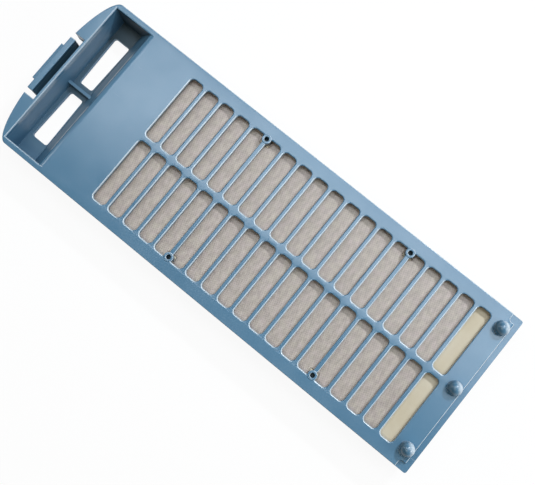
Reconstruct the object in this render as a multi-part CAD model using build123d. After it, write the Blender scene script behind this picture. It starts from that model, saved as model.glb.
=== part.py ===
# Washing machine lint filter: a slotted cassette with a finger recess and spring latch at one end,
# locating pegs at the other, a mesh insert behind the slots and a hinged rear cover.
# Frame: +X runs from the latch to the pegs, +Z is out of the slotted face, z = 0 is the rear cover.
import os
from math import atan, cos, pi, sin, sqrt, tan

from build123d import *

# Driving dimensions in millimetres

# Case of the front frame
CASE_LENGTH = 219.0
CASE_WIDTH = 79.4
CASE_HEIGHT = 20.0
FACE_PLATE = 2.0
SIDE_WALL = 2.6
PEG_END_WALL = 3.2
PEG_END_CORNER = 1.0
FRAME_LIFT = 0.3

# Two rows of slots
SLOT_PITCH = 8.65
SLOT_WIDTH = 6.7
SLOT_CORNER = 1.9
SLOT_PEG_MARGIN = 11.85
SLOT_GRIP_MARGIN = 25.5
CENTRE_BAR = 2.6
LONG_BORDER = 6.0

# Finger recess at the latch end
GRIP_OVERRUN = 1.5
GRIP_LENGTH = 19.75
GRIP_FLOOR_LENGTH = 10.5
GRIP_FLOOR = 2.2
GRIP_FLOOR_LIFT = 0.8
GRIP_RIM_ROUND = 0.7
RAMP_WALL = 2.0
RAMP_ROUND = 3.0
LATCH_END_WALL = 1.6
WINDOW_WALL_GAP = 1.6
WINDOW_RAMP_GAP = 0.3
WINDOW_SIDE_GAP = 8.0
WINDOW_TAPER = 0.6
WINDOW_CORNER = 1.2
WINDOW_BRIDGE = 6.0
GRIP_RIB = 1.4
GRIP_RIB_HEIGHT = 4.2

# Crescent flange round the latch
CRESCENT_RISE = 9.2
CRESCENT_DEPTH = 8.0
CRESCENT_SKIN = 1.6

# Spring latch
LATCH_REACH = 10.5
LATCH_GROOVE = 3.0
LATCH_LEAF = 1.6
LATCH_HEAD = 1.1
LATCH_HEAD_HEIGHT = 2.4
LATCH_WIDTH = 29.2
LATCH_SLIT = 2.4
LATCH_LIP_WIDTH = 19.8
LATCH_LIP_DROP = 1.2
LATCH_LIP_THICKNESS = 2.6
LATCH_ROOT_HEIGHT = 5.0
LATCH_ROOT_GAP = 0.05

# Pegs and stepped edge at the peg end
PEG_DIAMETER = 6.4
PEG_STEM = 2.5
PEG_END_INSET = 6.0
PEG_SIDE_INSET = 8.2
STEP_WIDTH = 2.5
STEP_DROP = 1.3
NOTCH_LENGTH = 5.4
NOTCH_WIDTH = 3.4
NOTCH_CORNER = 1.4

# Bosses that hold the mesh insert
BOSS_DIAMETER = 4.2
BOSS_BORE = 2.1
BOSS_LENGTH = 4.0
BOSS_PROUD = 0.25
BOSS_INSET = 1.0
BOSS_SLOTS_FROM_GRIP = 5
BOSS_SLOTS_FROM_PEGS = 5

# Mesh insert
INSERT_THICKNESS = 2.4
INSERT_CLEARANCE = 0.3
INSERT_GRIP_BAR = 4.0
INSERT_OVERLAP = 0.3
INSERT_CORNER = 1.9
INSERT_PEG_OVERRUN = 3.0
INSERT_PIN_CLEARANCE = 0.1
INSERT_PIN_LENGTH = 1.2
MESH_THICKNESS = 0.3
MESH_LEDGE = 0.9
MESH_CLEARANCE = 0.05

# Rear cover
COVER_PANEL = 2.0
COVER_CLEARANCE = 0.3
COVER_RIB = 1.5
COVER_RIB_HEIGHT = 2.5
COVER_RIB_INSET = 2.0
COVER_RIB_ROWS = 2
COVER_RIB_COLUMNS = 3
COVER_CORNER = 2.0
INLET_WIDTH = 52.0
INLET_LENGTH = 17.0
INLET_CORNER = 3.0
INLET_COLLAR = 1.6
TONGUE_WIDTH = 12.0
TONGUE_HEIGHT = 6.5
TONGUE_THICKNESS = 1.5
TONGUE_SPREAD = 40.0

# Hinge between cover and frame
HINGE_INSET = 3.2
HINGE_HEIGHT = 3.5
HINGE_BARREL = 5.6
HINGE_PIN = 3.6
HINGE_PIN_CLEARANCE = 0.05
HINGE_PIN_RECESS = 0.2
HINGE_BARREL_GAP = 0.4

# Places worked out from the driving dimensions

OVERCUT = 1.0
NEAR = 0.1
ROUND_SHARE = 0.4
PEG_END_X = (CASE_LENGTH + LATCH_REACH) / 2
CORNER_X = PEG_END_X - CASE_LENGTH
LIP_X = CORNER_X - LATCH_REACH
HALF_WIDTH = CASE_WIDTH / 2
INNER_HALF_WIDTH = HALF_WIDTH - SIDE_WALL
PLATE_BOTTOM = CASE_HEIGHT - FACE_PLATE
CRESCENT_BOTTOM = CASE_HEIGHT - CRESCENT_DEPTH

GRIP_WALL_X = CORNER_X - GRIP_OVERRUN
LATCH_WALL_X = GRIP_WALL_X - LATCH_END_WALL
RAMP_TOP_X = GRIP_WALL_X + GRIP_LENGTH
RAMP_BASE_X = GRIP_WALL_X + GRIP_FLOOR_LENGTH
GRIP_FLOOR_TOP = GRIP_FLOOR_LIFT + GRIP_FLOOR
GRIP_DEPTH = CASE_HEIGHT - GRIP_FLOOR_TOP
RAMP_LEAN = atan((RAMP_TOP_X - RAMP_BASE_X) / GRIP_DEPTH)
RAMP_BACK_X = RAMP_BASE_X + RAMP_WALL / cos(RAMP_LEAN)

SLOT_LENGTH = HALF_WIDTH - CENTRE_BAR / 2 - LONG_BORDER
SLOT_ROW_Y = CENTRE_BAR / 2 + SLOT_LENGTH / 2
SLOT_END_Y = CENTRE_BAR / 2 + SLOT_LENGTH
LAST_SLOT_X = PEG_END_X - SLOT_PEG_MARGIN - SLOT_WIDTH / 2
SLOT_ZONE = LAST_SLOT_X - SLOT_WIDTH / 2 - RAMP_TOP_X - SLOT_GRIP_MARGIN
SLOT_COUNT = int(SLOT_ZONE / SLOT_PITCH) + 1
FIRST_SLOT_X = LAST_SLOT_X - (SLOT_COUNT - 1) * SLOT_PITCH

LEAF_INNER_X = LATCH_WALL_X - LATCH_GROOVE
LEAF_OUTER_X = LEAF_INNER_X - LATCH_LEAF
HEAD_OUTER_X = LEAF_OUTER_X - LATCH_HEAD
LATCH_ROOT_X = LATCH_WALL_X - LATCH_LEAF / 2 - LATCH_ROOT_GAP

PEG_X = PEG_END_X - PEG_END_INSET
PEG_ROW_Y = HALF_WIDTH - PEG_SIDE_INSET

BOSS_X = (
    FIRST_SLOT_X + (BOSS_SLOTS_FROM_GRIP - 0.5) * SLOT_PITCH,
    LAST_SLOT_X - (BOSS_SLOTS_FROM_PEGS - 0.5) * SLOT_PITCH,
)
BOSS_Y = SLOT_END_Y - BOSS_INSET
BOSS_BOTTOM = CASE_HEIGHT - BOSS_LENGTH

INSERT_PEG_BAR_X = LAST_SLOT_X - SLOT_PITCH / 2
INSERT_GRIP_BAR_X = FIRST_SLOT_X - SLOT_WIDTH / 2 - INSERT_OVERLAP
INSERT_SIDE_Y = SLOT_END_Y + INSERT_OVERLAP
INSERT_MIN_X = INSERT_GRIP_BAR_X - INSERT_GRIP_BAR
INSERT_MAX_X = LAST_SLOT_X + SLOT_WIDTH / 2 + INSERT_PEG_OVERRUN
INSERT_HALF_WIDTH = INNER_HALF_WIDTH - INSERT_CLEARANCE
MESH_REBATE = MESH_THICKNESS + MESH_CLEARANCE

HINGE_X = PEG_END_X - HINGE_INSET
COVER_MIN_X = RAMP_BACK_X + COVER_CLEARANCE
COVER_HALF_WIDTH = INNER_HALF_WIDTH - COVER_CLEARANCE
COVER_RIB_TOP = COVER_PANEL + COVER_RIB_HEIGHT
INLET_X = RAMP_TOP_X + SLOT_GRIP_MARGIN / 2


def block(x_low, x_high, y_low, y_high, z_low, z_high):
    """A box between two corners."""
    middle = Pos((x_low + x_high) / 2, (y_low + y_high) / 2, (z_low + z_high) / 2)
    return middle * Box(x_high - x_low, y_high - y_low, z_high - z_low)


def slice_across(points, half_width):
    """A lengthwise profile of (x, z) points, drawn out to half_width on both sides of the middle."""
    profile = Plane.XZ * make_face(Polyline(*points, close=True))
    return extrude(profile, amount=half_width, both=True)


def upright(sketch, z_low, z_high):
    """A plan shape drawn up from one height to another."""
    return extrude(Pos(0, 0, z_low) * sketch, amount=z_high - z_low)


def barrel(x, z, radius, y_low, y_high):
    """A round bar across the case."""
    length = y_high - y_low
    return Pos(x, (y_low + y_high) / 2, z) * Rot(90, 0, 0) * Cylinder(radius, length)


def case_plan():
    """The case from above: a rectangle with the crescent at the latch end."""
    rectangle = Pos((CORNER_X + PEG_END_X) / 2, 0) * Rectangle(CASE_LENGTH, CASE_WIDTH)
    crescent = Pos(CORNER_X, 0) * Ellipse(CRESCENT_RISE, HALF_WIDTH)
    return rectangle + crescent


def crescent_pocket():
    """The hollow under the crescent flange, left open below, one on each side of the latch."""
    inner = Pos(CORNER_X, 0) * Ellipse(CRESCENT_RISE - CRESCENT_SKIN, HALF_WIDTH - CRESCENT_SKIN)
    pocket = upright(inner, CRESCENT_BOTTOM - OVERCUT, PLATE_BOTTOM)
    keep_y = LATCH_WIDTH / 2 + LATCH_SLIT + CRESCENT_SKIN
    pocket -= block(LIP_X, CORNER_X, -keep_y, keep_y, 0, CASE_HEIGHT)
    return pocket - block(LATCH_WALL_X, PEG_END_X, -HALF_WIDTH, HALF_WIDTH, 0, CASE_HEIGHT)


def case_shell():
    """The tray-shaped case with the lint chamber open below and the finger recess open above."""
    shell = upright(case_plan(), FRAME_LIFT, CASE_HEIGHT)
    peg_corners = shell.edges().filter_by(Axis.Z).group_by(Axis.X)[-1]
    shell = fillet(peg_corners, PEG_END_CORNER)
    shell -= block(LIP_X - OVERCUT, LATCH_WALL_X, -HALF_WIDTH, HALF_WIDTH, 0, CRESCENT_BOTTOM)
    shell -= crescent_pocket()
    ramp_back_top_x = RAMP_BACK_X + (PLATE_BOTTOM - GRIP_FLOOR_TOP) * tan(RAMP_LEAN)
    chamber = [
        (RAMP_BACK_X, -OVERCUT),
        (RAMP_BACK_X, GRIP_FLOOR_TOP),
        (ramp_back_top_x, PLATE_BOTTOM),
        (PEG_END_X - PEG_END_WALL, PLATE_BOTTOM),
        (PEG_END_X - PEG_END_WALL, -OVERCUT),
    ]
    shell -= slice_across(chamber, INNER_HALF_WIDTH)
    shell -= block(LATCH_WALL_X, RAMP_BACK_X, -HALF_WIDTH, HALF_WIDTH, -OVERCUT, GRIP_FLOOR_LIFT)
    ramp_slope = (RAMP_TOP_X - RAMP_BASE_X) / GRIP_DEPTH
    recess = [
        (GRIP_WALL_X, GRIP_FLOOR_TOP),
        (RAMP_BASE_X, GRIP_FLOOR_TOP),
        (RAMP_TOP_X + ramp_slope * OVERCUT, CASE_HEIGHT + OVERCUT),
        (GRIP_WALL_X, CASE_HEIGHT + OVERCUT),
    ]
    return shell - slice_across(recess, INNER_HALF_WIDTH)


def slot_places():
    """Centres of all slots, both rows."""
    columns = [FIRST_SLOT_X + place * SLOT_PITCH for place in range(SLOT_COUNT)]
    return [(x, y) for y in (-SLOT_ROW_Y, SLOT_ROW_Y) for x in columns]


def slots():
    """All slots. Each corner has three flats round a circle of the corner's radius, which keeps the faces few."""
    slot = Rectangle(SLOT_WIDTH, SLOT_LENGTH)
    slot = chamfer(slot.vertices(), SLOT_CORNER * (2 - sqrt(2)))
    slot = chamfer(slot.vertices(), SLOT_CORNER * (tan(pi / 8) - tan(pi / 16)))
    plan = Sketch() + [Pos(x, y) * slot for x, y in slot_places()]
    return upright(plan, PLATE_BOTTOM - OVERCUT, CASE_HEIGHT + OVERCUT)


def ramp_rounding():
    """What the wide rounding at the top of the ramp takes off."""
    reach = RAMP_ROUND * tan((pi / 2 - RAMP_LEAN) / 2)
    on_plate = (RAMP_TOP_X + reach, CASE_HEIGHT)
    on_ramp = (RAMP_TOP_X - reach * sin(RAMP_LEAN), CASE_HEIGHT - reach * cos(RAMP_LEAN))
    outline = Polyline(
        on_ramp,
        (on_ramp[0], CASE_HEIGHT + OVERCUT),
        (on_plate[0], CASE_HEIGHT + OVERCUT),
        on_plate,
    )
    outline += TangentArc(on_plate, on_ramp, tangent=(-1, 0))
    return extrude(Plane.XZ * make_face(outline), amount=INNER_HALF_WIDTH, both=True)


def round_grip_rim(shell):
    """Round over the rim of the finger recess, with a wider rounding at the ramp."""
    rim = shell.edges().filter_by(
        lambda edge: abs(edge.center().Z - CASE_HEIGHT) < NEAR and on_grip_rim(edge.center())
    )
    return fillet(rim, min(GRIP_RIM_ROUND, LATCH_END_WALL * ROUND_SHARE)) - ramp_rounding()


def on_grip_rim(point):
    """Whether a point of the face lies on the edge of the finger recess."""
    inside_length = GRIP_WALL_X - NEAR < point.X < RAMP_TOP_X + NEAR
    return inside_length and abs(point.Y) < INNER_HALF_WIDTH + NEAR


def peg_end_step():
    """The lowered strip along the peg end, with a notch at both corners."""
    strip_x = PEG_END_X - STEP_WIDTH
    notch_x = PEG_END_X - NOTCH_LENGTH
    strip = Pos((strip_x + PEG_END_X + OVERCUT) / 2, 0) * Rectangle(STEP_WIDTH + OVERCUT, CASE_WIDTH + OVERCUT)
    length = NOTCH_LENGTH + OVERCUT
    width = NOTCH_WIDTH + NOTCH_CORNER + OVERCUT
    notch = RectangleRounded(length + NOTCH_CORNER, width, NOTCH_CORNER)
    for side in (-1, 1):
        centre_y = side * (HALF_WIDTH - NOTCH_WIDTH + width / 2)
        strip += Pos(notch_x + (length + NOTCH_CORNER) / 2, centre_y) * notch
    return upright(strip, CASE_HEIGHT - STEP_DROP, CASE_HEIGHT + OVERCUT)


def peg():
    """One locating peg: a short stem with a domed end."""
    radius = PEG_DIAMETER / 2
    stem = Pos(0, 0, PEG_STEM / 2 - FACE_PLATE / 4) * Cylinder(radius, PEG_STEM + FACE_PLATE / 2)
    return stem + Pos(0, 0, PEG_STEM) * Sphere(radius)


def boss_places():
    """Centres of the four bosses."""
    return [(x, side * BOSS_Y) for x in BOSS_X for side in (-1, 1)]


def grip_window():
    """One see-through window of the recess floor, a little narrower towards the middle."""
    x_low = GRIP_WALL_X + WINDOW_WALL_GAP
    x_high = RAMP_BASE_X - WINDOW_RAMP_GAP
    y_low = WINDOW_BRIDGE / 2
    y_high = INNER_HALF_WIDTH - WINDOW_SIDE_GAP
    corners = [
        (x_low, y_high),
        (x_high, y_high),
        (x_high - WINDOW_TAPER, y_low),
        (x_low + WINDOW_TAPER, y_low),
    ]
    opening = make_face(Polyline(*corners, close=True))
    opening = fillet(opening.vertices(), WINDOW_CORNER)
    return upright(opening, GRIP_FLOOR_LIFT - OVERCUT, GRIP_FLOOR_TOP + OVERCUT)


def hinge_relief():
    """What the frame gives up round the hinge: pin bores, room for the barrel, rounded lower corners."""
    bore = HINGE_PIN / 2 + HINGE_PIN_CLEARANCE
    relief = barrel(HINGE_X, HINGE_HEIGHT, bore, -HALF_WIDTH - OVERCUT, HALF_WIDTH + OVERCUT)
    wall_foot = HINGE_HEIGHT + HINGE_BARREL / 2 + HINGE_BARREL_GAP
    foot_x = PEG_END_X - PEG_END_WALL - OVERCUT
    relief += block(foot_x, PEG_END_X + OVERCUT, -INNER_HALF_WIDTH, INNER_HALF_WIDTH, -OVERCUT, wall_foot)
    corner = block(HINGE_X, PEG_END_X + OVERCUT, -HALF_WIDTH, HALF_WIDTH, -OVERCUT, HINGE_HEIGHT)
    swing = min(HINGE_INSET, HINGE_HEIGHT - FRAME_LIFT)
    corner -= barrel(HINGE_X, HINGE_HEIGHT, swing, -CASE_WIDTH, CASE_WIDTH)
    return relief + corner


def front_frame():
    """The slotted front moulding with its recess, crescent, bosses and pegs."""
    frame = round_grip_rim(case_shell()) - slots()
    frame -= peg_end_step()
    for x, y in boss_places():
        boss = Cylinder(BOSS_DIAMETER / 2, BOSS_LENGTH + BOSS_PROUD)
        frame += Pos(x, y, (BOSS_BOTTOM + CASE_HEIGHT + BOSS_PROUD) / 2) * boss
    for x, y in boss_places():
        frame -= Pos(x, y, CASE_HEIGHT) * Cylinder(BOSS_BORE / 2, 2 * BOSS_LENGTH + OVERCUT)
    for y in (-PEG_ROW_Y, 0, PEG_ROW_Y):
        frame += Pos(PEG_X, y, CASE_HEIGHT) * peg()
    rib_top = GRIP_FLOOR_TOP + GRIP_RIB_HEIGHT
    rib = [
        (GRIP_WALL_X - LATCH_END_WALL / 2, GRIP_FLOOR_TOP - GRIP_FLOOR / 2),
        (RAMP_BASE_X, GRIP_FLOOR_TOP - GRIP_FLOOR / 2),
        (RAMP_BASE_X + GRIP_RIB_HEIGHT * tan(RAMP_LEAN) + RAMP_WALL / 2, rib_top),
        (GRIP_WALL_X - LATCH_END_WALL / 2, rib_top),
    ]
    frame += slice_across(rib, GRIP_RIB / 2)
    window = grip_window()
    frame -= window
    frame -= mirror(window, about=Plane.XZ)
    latch_room_y = LATCH_WIDTH / 2 + LATCH_SLIT
    frame -= block(LIP_X - OVERCUT, LATCH_WALL_X, -latch_room_y, latch_room_y, 0, CASE_HEIGHT + OVERCUT)
    return frame - hinge_relief()


def latch_tab():
    """The U-shaped spring leaf beyond the end wall, with its thumb rest and catch lip."""
    half_leaf = LATCH_LEAF / 2
    web_low = LATCH_ROOT_HEIGHT - half_leaf
    web_high = LATCH_ROOT_HEIGHT + half_leaf
    head_low = CASE_HEIGHT - LATCH_HEAD_HEIGHT
    leaf = [
        (LATCH_ROOT_X, web_low),
        (LATCH_ROOT_X, web_high),
        (LEAF_INNER_X, web_high),
        (LEAF_INNER_X, CASE_HEIGHT),
        (HEAD_OUTER_X, CASE_HEIGHT),
        (HEAD_OUTER_X, head_low),
        (LEAF_OUTER_X, head_low - LATCH_HEAD),
        (LEAF_OUTER_X, web_low),
    ]
    tab = slice_across(leaf, LATCH_WIDTH / 2)
    outer_bend = tab.edges().filter_by(Axis.Y).sort_by_distance((LEAF_OUTER_X, 0, web_low))[0]
    tab = fillet(outer_bend, LATCH_LEAF)
    rim = tab.edges().filter_by(Axis.Y).group_by(Axis.Z)[-1]
    tab = fillet(rim, half_leaf / 2)
    tab += barrel(LATCH_ROOT_X, LATCH_ROOT_HEIGHT, half_leaf, -LATCH_WIDTH / 2, LATCH_WIDTH / 2)
    lip_top = CASE_HEIGHT - LATCH_LIP_DROP
    lip = [
        (LEAF_INNER_X - half_leaf, lip_top),
        (LIP_X, lip_top),
        (LIP_X, lip_top - LATCH_LIP_THICKNESS / 2),
        (LEAF_INNER_X - half_leaf, lip_top - LATCH_LIP_THICKNESS),
    ]
    return tab + slice_across(lip, LATCH_LIP_WIDTH / 2)


def pin_ear(x, y, clearance, reach):
    """The plan of one pin ear, from under its boss out to the side of the insert."""
    half_size = BOSS_DIAMETER / 2 + clearance
    side = 1 if y > 0 else -1
    inner_y = y - side * half_size
    outer_y = side * reach
    return Pos(x, (inner_y + outer_y) / 2) * Rectangle(2 * half_size, abs(outer_y - inner_y))


def mesh_frame():
    """The ivory insert that carries the mesh, with four pins for the bosses."""
    low = BOSS_BOTTOM - INSERT_THICKNESS
    rim = block(INSERT_MIN_X, INSERT_MAX_X, -INSERT_HALF_WIDTH, INSERT_HALF_WIDTH, low, BOSS_BOTTOM)
    rim = fillet(rim.edges().filter_by(Axis.Z), INSERT_CORNER)
    opening = block(
        INSERT_GRIP_BAR_X, INSERT_PEG_BAR_X, -INSERT_SIDE_Y, INSERT_SIDE_Y, low - OVERCUT, BOSS_BOTTOM + OVERCUT
    )
    ledge = block(
        INSERT_GRIP_BAR_X - MESH_LEDGE,
        INSERT_PEG_BAR_X + MESH_LEDGE,
        -INSERT_SIDE_Y - MESH_LEDGE,
        INSERT_SIDE_Y + MESH_LEDGE,
        BOSS_BOTTOM - MESH_REBATE,
        BOSS_BOTTOM + OVERCUT,
    )
    rim -= opening
    rim -= ledge
    pin_radius = BOSS_BORE / 2 - INSERT_PIN_CLEARANCE
    for x, y in boss_places():
        rim += upright(pin_ear(x, y, 0, INSERT_HALF_WIDTH), low, BOSS_BOTTOM)
        rim += upright(Pos(x, y) * Circle(pin_radius), low, BOSS_BOTTOM + INSERT_PIN_LENGTH)
    return rim


def mesh_screen():
    """The nylon mesh in its rebate, cut away round the four pin ears."""
    reach = MESH_LEDGE - MESH_CLEARANCE
    sheet = block(
        INSERT_GRIP_BAR_X - reach,
        INSERT_PEG_BAR_X + reach,
        -INSERT_SIDE_Y - reach,
        INSERT_SIDE_Y + reach,
        BOSS_BOTTOM - MESH_REBATE,
        BOSS_BOTTOM - MESH_CLEARANCE,
    )
    for x, y in boss_places():
        notch = pin_ear(x, y, MESH_CLEARANCE, HALF_WIDTH)
        sheet -= upright(notch, BOSS_BOTTOM - INSERT_THICKNESS, BOSS_BOTTOM)
    return sheet


def cover_ribs():
    """The stiffening ribs inside the cover: a border, lengthwise ribs and cross ribs."""
    x_low = COVER_MIN_X + COVER_RIB_INSET
    x_high = HINGE_X
    y_high = COVER_HALF_WIDTH - COVER_RIB_INSET
    border = block(x_low, x_high, -y_high, y_high, COVER_PANEL, COVER_RIB_TOP)
    inside = block(
        x_low + COVER_RIB,
        x_high - COVER_RIB,
        -y_high + COVER_RIB,
        y_high - COVER_RIB,
        COVER_PANEL - OVERCUT,
        COVER_RIB_TOP + OVERCUT,
    )
    ribs = border - inside
    grid_low = INLET_X + INLET_LENGTH / 2 + INLET_COLLAR
    for row in range(COVER_RIB_ROWS):
        y = -y_high + (row + 1) * 2 * y_high / (COVER_RIB_ROWS + 1)
        ribs += block(grid_low, x_high, y - COVER_RIB / 2, y + COVER_RIB / 2, COVER_PANEL, COVER_RIB_TOP)
    for column in range(COVER_RIB_COLUMNS):
        x = grid_low + column * (x_high - grid_low) / COVER_RIB_COLUMNS
        ribs += block(x, x + COVER_RIB, -y_high, y_high, COVER_PANEL, COVER_RIB_TOP)
    return ribs


def rear_cover():
    """The back panel with the water inlet, ribs, friction tongues and hinge barrel."""
    panel = block(COVER_MIN_X, HINGE_X, -COVER_HALF_WIDTH, COVER_HALF_WIDTH, 0, COVER_PANEL)
    free_corners = panel.edges().filter_by(Axis.Z).group_by(Axis.X)[0]
    panel = fillet(free_corners, COVER_CORNER)
    panel += cover_ribs()
    inlet = Pos(INLET_X, 0) * RectangleRounded(INLET_LENGTH, INLET_WIDTH, INLET_CORNER)
    collar_outline = Pos(INLET_X, 0) * RectangleRounded(
        INLET_LENGTH + 2 * INLET_COLLAR, INLET_WIDTH + 2 * INLET_COLLAR, INLET_CORNER + INLET_COLLAR
    )
    panel += upright(collar_outline, COVER_PANEL, COVER_RIB_TOP)
    panel -= upright(inlet, -OVERCUT, COVER_RIB_TOP + OVERCUT)
    barrel_radius = HINGE_BARREL / 2
    panel += block(
        HINGE_X - HINGE_BARREL, HINGE_X, -COVER_HALF_WIDTH, COVER_HALF_WIDTH, COVER_PANEL / 2, HINGE_HEIGHT
    )
    panel += barrel(HINGE_X, HINGE_HEIGHT, barrel_radius, -COVER_HALF_WIDTH, COVER_HALF_WIDTH)
    pin_end = HALF_WIDTH - HINGE_PIN_RECESS
    panel += barrel(HINGE_X, HINGE_HEIGHT, HINGE_PIN / 2, -pin_end, pin_end)
    tongue_top = COVER_PANEL + TONGUE_HEIGHT
    tongue_x = RAMP_BACK_X + (tongue_top - GRIP_FLOOR_TOP) * tan(RAMP_LEAN) + COVER_CLEARANCE
    for side in (-1, 1):
        middle = side * TONGUE_SPREAD / 2
        panel += block(
            tongue_x,
            tongue_x + TONGUE_THICKNESS,
            middle - TONGUE_WIDTH / 2,
            middle + TONGUE_WIDTH / 2,
            COVER_PANEL / 2,
            tongue_top,
        )
    return panel


PIECES = {
    "front_frame": front_frame,
    "latch_tab": latch_tab,
    "mesh_frame": mesh_frame,
    "mesh_screen": mesh_screen,
    "rear_cover": rear_cover,
}

os.makedirs("parts", exist_ok=True)
for name, make in PIECES.items():
    export_step(make(), f"parts/{name}.step")
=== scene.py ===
"""Washing machine lint filter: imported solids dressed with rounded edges, moulded plastic and woven nylon."""
import math

import bmesh
import bpy
from mathutils import Matrix, Vector


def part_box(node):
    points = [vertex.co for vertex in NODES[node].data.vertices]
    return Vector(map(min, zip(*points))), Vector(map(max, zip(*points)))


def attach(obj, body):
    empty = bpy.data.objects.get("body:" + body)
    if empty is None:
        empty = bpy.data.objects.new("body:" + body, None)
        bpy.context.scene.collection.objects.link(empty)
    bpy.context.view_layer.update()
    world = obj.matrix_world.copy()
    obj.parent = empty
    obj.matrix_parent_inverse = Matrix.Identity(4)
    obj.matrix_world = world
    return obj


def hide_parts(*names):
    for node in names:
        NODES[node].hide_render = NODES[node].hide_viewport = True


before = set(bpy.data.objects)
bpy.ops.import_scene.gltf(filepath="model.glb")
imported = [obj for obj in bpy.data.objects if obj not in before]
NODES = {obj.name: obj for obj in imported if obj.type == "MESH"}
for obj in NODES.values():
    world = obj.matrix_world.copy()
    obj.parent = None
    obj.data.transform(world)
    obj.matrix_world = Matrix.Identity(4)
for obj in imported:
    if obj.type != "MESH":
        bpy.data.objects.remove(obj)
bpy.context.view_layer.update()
MM = 0.001

# Camera: place and aim in the part's own frame, and the direction that is up in the picture
PICTURE_WIDTH = 535
FOCAL_PIXELS = 853.4
SENSOR_WIDTH = 36.0
NEAREST_SEEN = 10 * MM
CAMERA_PLACE = Vector((47.1, -32.0, 376.4)) * MM
CAMERA_AIM = Vector((11.3, -1.6, 20.0)) * MM
PICTURE_UP = Vector((-0.6253, 0.7697, 0.1286))

# Light: a soft box and a warm fill above, a small key lamp beyond the upper border, a panel beyond the pegs
# and a card on the latch side
BOX_SIZE = (0.78, 0.18)
BOX_PLACE = Vector((-0.012, 0.137, 0.66))
BOX_POWER = 2.2
BOX_COLOUR = (0.88, 0.94, 1.0)
FILL_SIZE = (0.5, 0.08)
FILL_PLACE = Vector((0.0, -0.2, 0.66))
FILL_POWER = 0.75
FILL_COLOUR = (1.0, 0.91, 0.74)
KEY_SIZE = (0.1, 0.025)
KEY_WAY = Vector((0.2, 0.6, 0.77))
KEY_DISTANCE = 0.6
KEY_POWER = 1.75
KEY_COLOUR = (0.88, 0.93, 1.0)
PANEL_SIZE = (0.3, 0.16)
PANEL_PLACE = Vector((0.55, 0.15, 0.32))
PANEL_POWER = 0.9
PANEL_COLOUR = (0.97, 0.99, 1.0)
CARD_SIZE = (0.14, 0.2)
CARD_PLACE = Vector((-0.52, -0.08, 0.42))
CARD_POWER = 0.5
CARD_COLOUR = (1.0, 1.0, 1.0)
SKY_STRENGTH = 0.04
SKY_COLOUR = (1.0, 0.95, 0.88, 1)

# Floor and far backdrop
FLOOR_SIZE = 12.0
FLOOR_DROP = 0.05 * MM
BACKDROP_HEIGHT = 1.8
FLOOR_GLOW = 0.92
FLOOR_ROUGHNESS = 0.9
FLOOR_WHITE = (0.93, 0.93, 0.93, 1)
GLOW_WHITE = (1, 1, 1, 1)

# Edge rounding of the moulded pieces
ROUND_ANGLE = math.radians(35)
ROUND_SEGMENTS = 3
ROUND_PROFILE = 0.5
WELD_DISTANCE = 0.001 * MM
SMOOTH_ANGLE = math.radians(40)
NEAR = 0.01 * MM
FACE_TOP = 20.0 * MM
BOSS_TOP = 20.25 * MM
SLOT_ZONE_LOW = Vector((-60.0, -34.5, 0.0)) * MM
SLOT_ZONE_HIGH = Vector((103.5, 34.5, 30.0)) * MM
SLOT_ROUND = 0.5 * MM
FACE_ROUND = 0.3 * MM
BOSS_ROUND = 0.2 * MM
LATCH_ROUND = 0.3 * MM
INSERT_ROUND = 0.3 * MM
COVER_ROUND = 0.4 * MM

# Painted highlight: a pale colour on rounded edges that face the lamps, strongest on those that face one way
# and none on the others
HIGHLIGHT_MARK = "edge"
EDGE_HIGHLIGHT = 0.9
LIT_WAY = Vector((0.7, 0.7, 0))
HIGHLIGHT_GAIN = 1.5
RIM_HIGHLIGHT = 0.5
RECESS_RIM_LOW = Vector((-107.0, -38.5, 19.2)) * MM
RECESS_RIM_HIGH = Vector((-88.0, 36.0, 20.0)) * MM

# Painted shade: a dark colour on slot walls, in the finger recess, in the latch groove and on the pins in the
# bosses, where shade falls. On the blue pieces it darkens from the lower long border, at -Y, to the upper one
SHADE_MARK = "painted_shade"
SHADE_LEAST = 0.3
SHADE_MOST = 0.95
SHADE_BORDERS = (-37.0 * MM, 37.0 * MM)
RECESS_LOW = Vector((-105.6, -37.4, 2.5)) * MM
RECESS_HIGH = Vector((-85.5, 37.4, 19.0)) * MM
RECESS_FLOOR = 4.0 * MM
RAMP_SHADE = 0.25
END_SHADE = 0.6
GROOVE_LOW = Vector((-110.6, -25.0, 0.0)) * MM
GROOVE_HIGH = Vector((-107.2, 25.0, 19.6)) * MM
PIN_FOOT = 16.1 * MM

# Limits on one component of a face's unit normal, which tell walls, slopes and upward faces apart
UPRIGHT = 0.2
SQUARE_ON = 0.9
SLOPED = 0.97
FACES_UP = 0.5

# Pegs: a painted highlight on the side that faces the lamps and painted shade on the other. They are a little
# rougher than the face
TIP_FOOT = 20.6 * MM
TIP_MORE = 0.05
TIP_HIGHLIGHT = 0.9
TIP_HIGHLIGHT_SIDES = (0.1, 0.6)
TIP_SHADE = 0.65
TIP_SHADE_SIDES = (0.05, -0.45)

# Blue plastic, rougher low down than on its upper face. All colours are in linear light
BLUE_PALE = (0.090, 0.209, 0.325, 1)
BLUE_DEEP = (0.073, 0.184, 0.295, 1)
# Pale tone: real scratches, and the painted highlight on rims and on the pegs' lit sides
BLUE_SCRATCH_AND_HIGHLIGHT = (0.58, 0.68, 0.75, 1)
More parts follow.
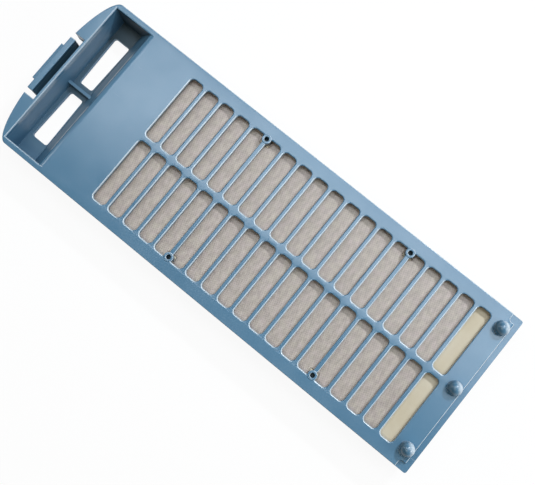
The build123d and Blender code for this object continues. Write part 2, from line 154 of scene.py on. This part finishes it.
# Dark tone of the painted shade
SHADE_TONE = (0.018, 0.045, 0.062, 1)
PLASTIC_IOR = 1.6
CLOUD_RANGE = (0.35, 0.65)
HAZE_RANGE = (0.3, 0.7)
BLUE_CLOUD_SCALE = 28
BLUE_CLOUD_DETAIL = 3
BLUE_HAZE_SCALE = 90
BLUE_HAZE_DETAIL = 4
BLUE_ROUGHNESS = (0.18, 0.25)
BLUE_GRAIN_SCALE = 1600
BLUE_GRAIN = 0.06
GRAIN_DEPTH = 0.05 * MM
SCRATCH_TURN = math.radians(35)
SCRATCH_STRETCH = (14, 420, 14)
SCRATCH_RANGE = (0.72, 0.76)
SCRATCH_SHARE = 0.25
PATCH_SCALE = 60
PATCH_DETAIL = 1
PATCH_RANGE = (0.52, 0.62)
MATT_HEIGHTS = (15.5 * MM, 18.5 * MM)
MATT_MORE = 0.35

# Ivory plastic
IVORY = (0.62, 0.54, 0.385, 1)
IVORY_PALE = (0.67, 0.60, 0.46, 1)
IVORY_CLOUD_SCALE = 80
IVORY_CLOUD_DETAIL = 4
IVORY_HAZE_SCALE = 150
IVORY_ROUGHNESS = (0.5, 0.62)
IVORY_GRAIN_SCALE = 1400
IVORY_GRAIN = 0.15

# Nylon mesh
NYLON = (0.560, 0.477, 0.445, 1)
NYLON_WARM = (0.560, 0.504, 0.425, 1)
NYLON_SHADE = (0.345, 0.297, 0.263, 1)
NYLON_WARMTH_SCALE = 300
NYLON_ROUGHNESS = 0.38
NYLON_SHEEN = 0.15
MESH_CELL = 1.2 * MM
MESH_THICKNESS = 0.2 * MM
MESH_SAG = 0.25 * MM
THREAD_PITCH = 0.9 * MM
THREAD_TURNS = (math.radians(-21), math.radians(69))
THREAD_GAP_RANGE = (0.3, 1.0)
THREAD_GAP_SHARE = 0.45
THREAD_BUMP = 0.3
THREAD_DEPTH = 0.08 * MM
STREAK_TURN = math.radians(69)
STREAK_STRETCH = (800, 400, 400)
STREAK_DETAIL = 3
STREAK_SHARE = 0.6

# Length over which a wave texture of scale 1 repeats
WAVE_PERIOD = math.tau / 20


class Shader:
    """A node material under construction: add() makes a node and join() links two sockets."""

    def __init__(self, name):
        self.material = bpy.data.materials.new(name)
        self.material.use_nodes = True
        self.tree = self.material.node_tree
        self.surface = self.tree.nodes["Principled BSDF"]
        self.output = self.tree.nodes["Material Output"]

    def add(self, kind, **settings):
        node = self.tree.nodes.new(kind)
        for key, value in settings.items():
            setattr(node, key, value)
        return node

    def join(self, source, target):
        self.tree.links.new(source, target)

    def place(self):
        """Coordinates in metres that stay with the piece."""
        return self.add("ShaderNodeTexCoord").outputs["Object"]

    def mark(self, name):
        """A value that the faces of the mesh carry."""
        return self.add("ShaderNodeAttribute", attribute_name=name).outputs["Fac"]

    def facing(self, way):
        """How far the surface of the piece faces a way in the piece's own frame, from -1 to 1."""
        node = self.add("ShaderNodeVectorMath", operation="DOT_PRODUCT")
        node.inputs[1].default_value = way
        self.join(self.add("ShaderNodeTexCoord").outputs["Normal"], node.inputs[0])
        return node.outputs["Value"]

    def noise(self, place, scale, detail=2.0):
        node = self.add("ShaderNodeTexNoise")
        node.inputs["Scale"].default_value = scale
        node.inputs["Detail"].default_value = detail
        self.join(place, node.inputs["Vector"])
        return node.outputs["Fac"]

    def stretch(self, place, turn, scale=(1, 1, 1)):
        """The coordinates turned about Z and scaled."""
        node = self.add("ShaderNodeMapping")
        node.inputs["Rotation"].default_value = (0, 0, turn)
        node.inputs["Scale"].default_value = scale
        self.join(place, node.inputs["Vector"])
        return node.outputs["Vector"]

    def ramp(self, value, source, target=(0.0, 1.0)):
        """A value mapped from one range to another, and clamped."""
        node = self.add("ShaderNodeMapRange")
        node.inputs["From Min"].default_value, node.inputs["From Max"].default_value = source
        node.inputs["To Min"].default_value, node.inputs["To Max"].default_value = target
        self.join(value, node.inputs["Value"])
        return node.outputs["Result"]

    def math(self, operation, first, second):
        node = self.add("ShaderNodeMath", operation=operation)
        for socket, value in zip(node.inputs, (first, second)):
            if isinstance(value, (int, float)):
                socket.default_value = value
            else:
                self.join(value, socket)
        return node.outputs["Value"]

    def mix(self, share, first, second):
        """A colour between two colours, either of them a constant or a socket."""
        node = self.add("ShaderNodeMix", data_type="RGBA")
        self.join(share, node.inputs["Factor"])
        for name, value in (("A", first), ("B", second)):
            end = [socket for socket in node.inputs if socket.name == name and socket.type == "RGBA"][0]
            if isinstance(value, tuple):
                end.default_value = value
            else:
                self.join(value, end)
        return [socket for socket in node.outputs if socket.type == "RGBA"][0]

    def bump(self, height, strength, distance):
        node = self.add("ShaderNodeBump")
        node.inputs["Strength"].default_value = strength
        node.inputs["Distance"].default_value = distance
        self.join(height, node.inputs["Height"])
        self.join(node.outputs["Normal"], self.surface.inputs["Normal"])

    def colour(self, socket):
        self.join(socket, self.surface.inputs["Base Color"])

    def roughness(self, socket):
        self.join(socket, self.surface.inputs["Roughness"])


def blue_plastic():
    """Moulded plastic: cloudy, finely grained and scratched, with painted highlight on edges and pegs that
    face the lamps and painted shade in its depths.
    """
    shader = Shader("blue_plastic")
    place = shader.place()
    axes = shader.add("ShaderNodeSeparateXYZ")
    shader.join(place, axes.inputs["Vector"])
    height = axes.outputs["Z"]

    cloud = shader.ramp(shader.noise(place, BLUE_CLOUD_SCALE, BLUE_CLOUD_DETAIL), CLOUD_RANGE)
    tone = shader.mix(cloud, BLUE_DEEP, BLUE_PALE)
    lines = shader.noise(shader.stretch(place, SCRATCH_TURN, SCRATCH_STRETCH), 1.0)
    patches = shader.ramp(shader.noise(place, PATCH_SCALE, PATCH_DETAIL), PATCH_RANGE)
    scratch = shader.math("MULTIPLY", shader.ramp(lines, SCRATCH_RANGE), patches)
    tone = shader.mix(shader.math("MULTIPLY", scratch, SCRATCH_SHARE), tone, BLUE_SCRATCH_AND_HIGHLIGHT)
    # Painted highlight on rounded edges that face the lamps
    tone = shader.mix(shader.math("MULTIPLY", shader.mark(HIGHLIGHT_MARK), EDGE_HIGHLIGHT), tone, BLUE_SCRATCH_AND_HIGHLIGHT)

    # Pegs: painted highlight on their lit side and painted shade on the far side
    tip = shader.ramp(height, (BOSS_TOP, TIP_FOOT))
    side = shader.facing(LIT_WAY)
    tip_highlight = shader.math("MULTIPLY", tip, shader.ramp(side, TIP_HIGHLIGHT_SIDES, (0.0, TIP_HIGHLIGHT)))
    tip_shade = shader.math("MULTIPLY", tip, shader.ramp(side, TIP_SHADE_SIDES, (0.0, TIP_SHADE)))
    tone = shader.mix(tip_highlight, tone, BLUE_SCRATCH_AND_HIGHLIGHT)
    # Painted shade on walls and in hollows, darker towards the upper border
    thickness = shader.ramp(axes.outputs["Y"], SHADE_BORDERS, (SHADE_LEAST, SHADE_MOST))
    shade_share = shader.math("MULTIPLY", shader.mark(SHADE_MARK), thickness)
    shader.colour(shader.mix(shader.math("ADD", shade_share, tip_shade), tone, SHADE_TONE))

    haze = shader.noise(place, BLUE_HAZE_SCALE, BLUE_HAZE_DETAIL)
    gloss = shader.ramp(haze, HAZE_RANGE, BLUE_ROUGHNESS)
    matt = shader.ramp(height, MATT_HEIGHTS, (MATT_MORE, 0.0))
    rubbed = shader.math("MULTIPLY", tip, TIP_MORE)
    shader.roughness(shader.math("ADD", shader.math("ADD", gloss, matt), rubbed))
    shader.surface.inputs["IOR"].default_value = PLASTIC_IOR
    shader.bump(shader.noise(place, BLUE_GRAIN_SCALE), BLUE_GRAIN, GRAIN_DEPTH)
    return shader.material


def ivory_plastic():
    """The insert's matt ivory plastic, with painted shade on the pins down in the bosses."""
    shader = Shader("ivory_plastic")
    place = shader.place()
    cloud = shader.ramp(shader.noise(place, IVORY_CLOUD_SCALE, IVORY_CLOUD_DETAIL), CLOUD_RANGE)
    tone = shader.mix(cloud, IVORY, IVORY_PALE)
    # Painted shade on the pin ends
    shader.colour(shader.mix(shader.mark(SHADE_MARK), tone, SHADE_TONE))
    shader.roughness(shader.ramp(shader.noise(place, IVORY_HAZE_SCALE), HAZE_RANGE, IVORY_ROUGHNESS))
    shader.bump(shader.noise(place, IVORY_GRAIN_SCALE), IVORY_GRAIN, GRAIN_DEPTH)
    return shader.material


def nylon_weave():
    """Fine woven nylon: two sets of threads that cross on the diagonal, with soft streaks."""
    shader = Shader("nylon_mesh")
    place = shader.place()
    threads = []
    for turn in THREAD_TURNS:
        wave = shader.add("ShaderNodeTexWave", bands_direction="X", wave_profile="SIN")
        wave.inputs["Scale"].default_value = WAVE_PERIOD / THREAD_PITCH
        shader.join(shader.stretch(place, turn), wave.inputs["Vector"])
        threads.append(wave.outputs["Fac"])
    weave = shader.math("MAXIMUM", threads[0], threads[1])
    streaks = shader.noise(shader.stretch(place, STREAK_TURN, STREAK_STRETCH), 1.0, STREAK_DETAIL)
    cloud = shader.ramp(streaks, HAZE_RANGE, (0.0, STREAK_SHARE))
    gaps = shader.ramp(weave, THREAD_GAP_RANGE, (1.0, 0.0))
    shade = shader.math("ADD", shader.math("MULTIPLY", gaps, THREAD_GAP_SHARE), cloud)
    warmth = shader.ramp(shader.noise(place, NYLON_WARMTH_SCALE), CLOUD_RANGE)
    shader.colour(shader.mix(shade, shader.mix(warmth, NYLON, NYLON_WARM), NYLON_SHADE))
    shader.surface.inputs["Roughness"].default_value = NYLON_ROUGHNESS
    shader.surface.inputs["Sheen Weight"].default_value = NYLON_SHEEN
    shader.bump(weave, THREAD_BUMP, THREAD_DEPTH)
    return shader.material


def floor_white():
    """A floor that looks white to the eye and in reflections, and still takes the object's shadow."""
    shader = Shader("floor_white")
    shader.surface.inputs["Base Color"].default_value = FLOOR_WHITE
    shader.surface.inputs["Roughness"].default_value = FLOOR_ROUGHNESS
    path = shader.add("ShaderNodeLightPath")
    seen = shader.math("MAXIMUM", path.outputs["Is Camera Ray"], path.outputs["Is Glossy Ray"])
    seen = shader.math("MAXIMUM", seen, path.outputs["Is Transmission Ray"])
    glow = shader.add("ShaderNodeEmission")
    glow.inputs["Color"].default_value = GLOW_WHITE
    blend = shader.add("ShaderNodeMixShader")
    shader.join(shader.math("MULTIPLY", seen, FLOOR_GLOW), blend.inputs["Fac"])
    shader.join(shader.surface.outputs["BSDF"], blend.inputs[1])
    shader.join(glow.outputs["Emission"], blend.inputs[2])
    shader.join(blend.outputs["Shader"], shader.output.inputs["Surface"])
    return shader.material


def inside(place, low, high):
    return all(low[axis] < place[axis] < high[axis] for axis in range(3))


def level_at(edge, height):
    return all(abs(vert.co.z - height) < NEAR for vert in edge.verts)


def in_slot_zone(edge):
    return all(
        SLOT_ZONE_LOW[axis] < vert.co[axis] < SLOT_ZONE_HIGH[axis] for vert in edge.verts for axis in (0, 1)
    )


def slot_rim(edge):
    """True for an edge round a slot, on the front face's upper side."""
    return level_at(edge, FACE_TOP) and in_slot_zone(edge)


def face_outline(edge):
    """True for any other edge of the front face's upper side."""
    return level_at(edge, FACE_TOP) and not in_slot_zone(edge)


def boss_rim(edge):
    return level_at(edge, BOSS_TOP)


def every(edge):
    return True


def is_sharp(edge):
    return edge.is_convex and edge.calc_face_angle(0) > ROUND_ANGLE


def lit_share(face):
    """The share of painted highlight on a rounded edge, by how far it faces the lamps."""
    way = Vector((face.normal.x, face.normal.y, 0)).normalized()
    return min(1.0, max(0.0, HIGHLIGHT_GAIN * way.dot(LIT_WAY)))


def on_recess_rim(face):
    sloped = UPRIGHT < face.normal.z < SLOPED
    return sloped and inside(face.calc_center_median(), RECESS_RIM_LOW, RECESS_RIM_HIGH)


def groove_shade(face):
    """The share of painted shade on a wall of the groove behind the latch."""
    upright = abs(face.normal.x) > SQUARE_ON
    return float(upright and inside(face.calc_center_median(), GROOVE_LOW, GROOVE_HIGH))


def front_shade(face):
    """The share of painted shade on a face of the front moulding."""
    place = face.calc_center_median()
    if inside(place, SLOT_ZONE_LOW, SLOT_ZONE_HIGH):
        return float(abs(face.normal.z) < UPRIGHT and place.z < FACE_TOP)
    if not inside(place, RECESS_LOW, RECESS_HIGH):
        return groove_shade(face)
    if place.z < RECESS_FLOOR or abs(face.normal.y) > SQUARE_ON:
        return 1.0
    return END_SHADE if face.normal.x > SQUARE_ON else RAMP_SHADE


# Painted shade on the pin ends, down in the boss holes
def pin_shade(face):
    return float(face.calc_center_median().z > PIN_FOOT)


def unshaded(face):
    return 0.0


def rounded(node, name, body, material, passes, shade_share):
    """A rounded copy of a solid that stands for it. Each pass has a radius and a test for its edges, and the
    last argument gives each face its share of painted shade.
    """
    source = NODES[node].data
    mesh = bpy.data.meshes.new(name)
    points = [vert.co for vert in source.vertices]
    mesh.from_pydata(points, [], [list(polygon.vertices) for polygon in source.polygons])
    shell = bmesh.new()
    shell.from_mesh(mesh)
    bmesh.ops.remove_doubles(shell, verts=shell.verts, dist=WELD_DISTANCE)
    mark = shell.faces.layers.float.new(HIGHLIGHT_MARK)
    for radius, chosen in passes:
        sharp = [edge for edge in shell.edges if is_sharp(edge) and chosen(edge)]
        rounding = bmesh.ops.bevel(
            shell,
            geom=sharp,
            offset=radius,
            offset_type="OFFSET",
            segments=ROUND_SEGMENTS,
            profile=ROUND_PROFILE,
            affect="EDGES",
            loop_slide=False,
        )
        # The new rounded faces carry their share of painted highlight
        for face in rounding["faces"]:
            face.normal_update()
            face[mark] = lit_share(face)
    for edge in shell.edges:
        edge.smooth = edge.calc_face_angle(0) < SMOOTH_ANGLE
    painted_shade = shell.faces.layers.float.new(SHADE_MARK)
    shell.normal_update()
    # Each face carries its share of painted shade
    for face in shell.faces:
        face.smooth = True
        face[painted_shade] = shade_share(face)
        # The recess rim gets a weaker painted highlight
        if on_recess_rim(face):
            face[mark] = RIM_HIGHLIGHT * lit_share(face)
    shell.to_mesh(mesh)
    shell.free()
    mesh.materials.append(material)
    piece = bpy.data.objects.new(name, mesh)
    bpy.context.scene.collection.objects.link(piece)
    shading = piece.modifiers.new("Shading", "WEIGHTED_NORMAL")
    shading.keep_sharp = True
    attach(piece, body)
    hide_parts(node)


def lint_mesh():
    """The woven sheet: the upper skin of its solid, cut into small cells and slightly slack."""
    low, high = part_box("mesh_screen")
    skin = bmesh.new()
    skin.from_mesh(NODES["mesh_screen"].data)
    bmesh.ops.remove_doubles(skin, verts=skin.verts, dist=WELD_DISTANCE)
    others = [face for face in skin.faces if face.normal.z < FACES_UP]
    bmesh.ops.delete(skin, geom=others, context="FACES")
    for axis, direction in ((0, Vector((1, 0, 0))), (1, Vector((0, 1, 0)))):
        cells = round((high[axis] - low[axis]) / MESH_CELL)
        for step in range(1, cells):
            place = Vector((0, 0, high.z))
            place[axis] = low[axis] + (high[axis] - low[axis]) * step / cells
            geometry = skin.verts[:] + skin.edges[:] + skin.faces[:]
            bmesh.ops.bisect_plane(
                skin,
                geom=geometry,
                plane_co=place,
                plane_no=direction,
                dist=WELD_DISTANCE,
            )
    middle = (low + high) / 2
    for vert in skin.verts:
        across = math.cos(math.pi * (vert.co.y - middle.y) / (high.y - low.y))
        along = math.cos(math.pi * (vert.co.x - middle.x) / (high.x - low.x))
        vert.co.z -= MESH_SAG * max(0, across * along)
    mesh = bpy.data.meshes.new("lint_mesh")
    skin.to_mesh(mesh)
    area = sum(face.calc_area() for face in skin.faces)
    skin.free()
    mesh.shade_smooth()
    piece = bpy.data.objects.new("lint_mesh", mesh)
    bpy.context.scene.collection.objects.link(piece)
    thickness = piece.modifiers.new("Thickness", "SOLIDIFY")
    thickness.thickness = MESH_THICKNESS
    mesh.materials.append(nylon_weave())
    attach(piece, "frame")
    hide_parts("mesh_screen")


def lamp(name, size, place, aim, power, colour):
    """A rectangular lamp that faces its aim, with its first side level."""
    light = bpy.data.lights.new(name, "AREA")
    light.shape = "RECTANGLE"
    light.size, light.size_y = size
    light.energy = power
    light.color = colour
    holder = bpy.data.objects.new(name, light)
    back = (place - aim).normalized()
    level = Vector((0, 0, 1)).cross(back).normalized()
    turn = Matrix((level, back.cross(level), back)).transposed()
    holder.matrix_world = Matrix.Translation(place) @ turn.to_4x4()
    bpy.context.scene.collection.objects.link(holder)


def floor():
    """A white floor with a far backdrop on its four sides."""
    mesh = bpy.data.meshes.new("floor")
    half = FLOOR_SIZE / 2
    sides = [(-half, -half), (half, -half), (half, half), (-half, half)]
    count = len(sides)
    corners = [(x, y, z) for z in (-FLOOR_DROP, BACKDROP_HEIGHT) for x, y in sides]
    walls = [(side, (side + 1) % count, (side + 1) % count + count, side + count) for side in range(count)]
    mesh.from_pydata(corners, [], [tuple(range(count))] + walls)
    mesh.materials.append(floor_white())
    piece = bpy.data.objects.new("floor", mesh)
    bpy.context.scene.collection.objects.link(piece)


def lights():
    """Five lamps aimed at the front face, and a dim sky."""
    face = Vector((0, 0, FACE_TOP))
    lamp("soft_box", BOX_SIZE, BOX_PLACE, face, BOX_POWER, BOX_COLOUR)
    lamp("fill", FILL_SIZE, FILL_PLACE, face, FILL_POWER, FILL_COLOUR)
    lamp("key", KEY_SIZE, face + KEY_WAY * KEY_DISTANCE, face, KEY_POWER, KEY_COLOUR)
    lamp("panel", PANEL_SIZE, PANEL_PLACE, face, PANEL_POWER, PANEL_COLOUR)
    lamp("card", CARD_SIZE, CARD_PLACE, face, CARD_POWER, CARD_COLOUR)
    world = bpy.data.worlds.new("sky")
    world.use_nodes = True
    background = world.node_tree.nodes["Background"]
    background.inputs["Color"].default_value = SKY_COLOUR
    background.inputs["Strength"].default_value = SKY_STRENGTH
    bpy.context.scene.world = world


def camera():
    """The camera at the photograph's angle."""
    lens = bpy.data.cameras.new("camera")
    lens.sensor_width = SENSOR_WIDTH
    lens.lens = FOCAL_PIXELS / PICTURE_WIDTH * SENSOR_WIDTH
    lens.clip_start = NEAREST_SEEN
    holder = bpy.data.objects.new("camera", lens)
    back = (CAMERA_PLACE - CAMERA_AIM).normalized()
    right = PICTURE_UP.cross(back).normalized()
    turn = Matrix((right, back.cross(right), back)).transposed()
    holder.matrix_world = Matrix.Translation(CAMERA_PLACE) @ turn.to_4x4()
    bpy.context.scene.collection.objects.link(holder)
    bpy.context.scene.camera = holder
    bpy.context.scene.view_settings.view_transform = "Standard"


blue = blue_plastic()
front_passes = [(SLOT_ROUND, slot_rim), (FACE_ROUND, face_outline), (BOSS_ROUND, boss_rim)]
insert_passes = [(INSERT_ROUND, every)]
rounded("front_frame", "case_front", "frame", blue, front_passes, front_shade)
rounded("latch_tab", "latch_leaf", "latch", blue, [(LATCH_ROUND, every)], groove_shade)
rounded("rear_cover", "case_back", "cover", blue, [(COVER_ROUND, every)], unshaded)
rounded("mesh_frame", "mesh_rim", "frame", ivory_plastic(), insert_passes, pin_shade)
lint_mesh()
floor()
lights()
camera()
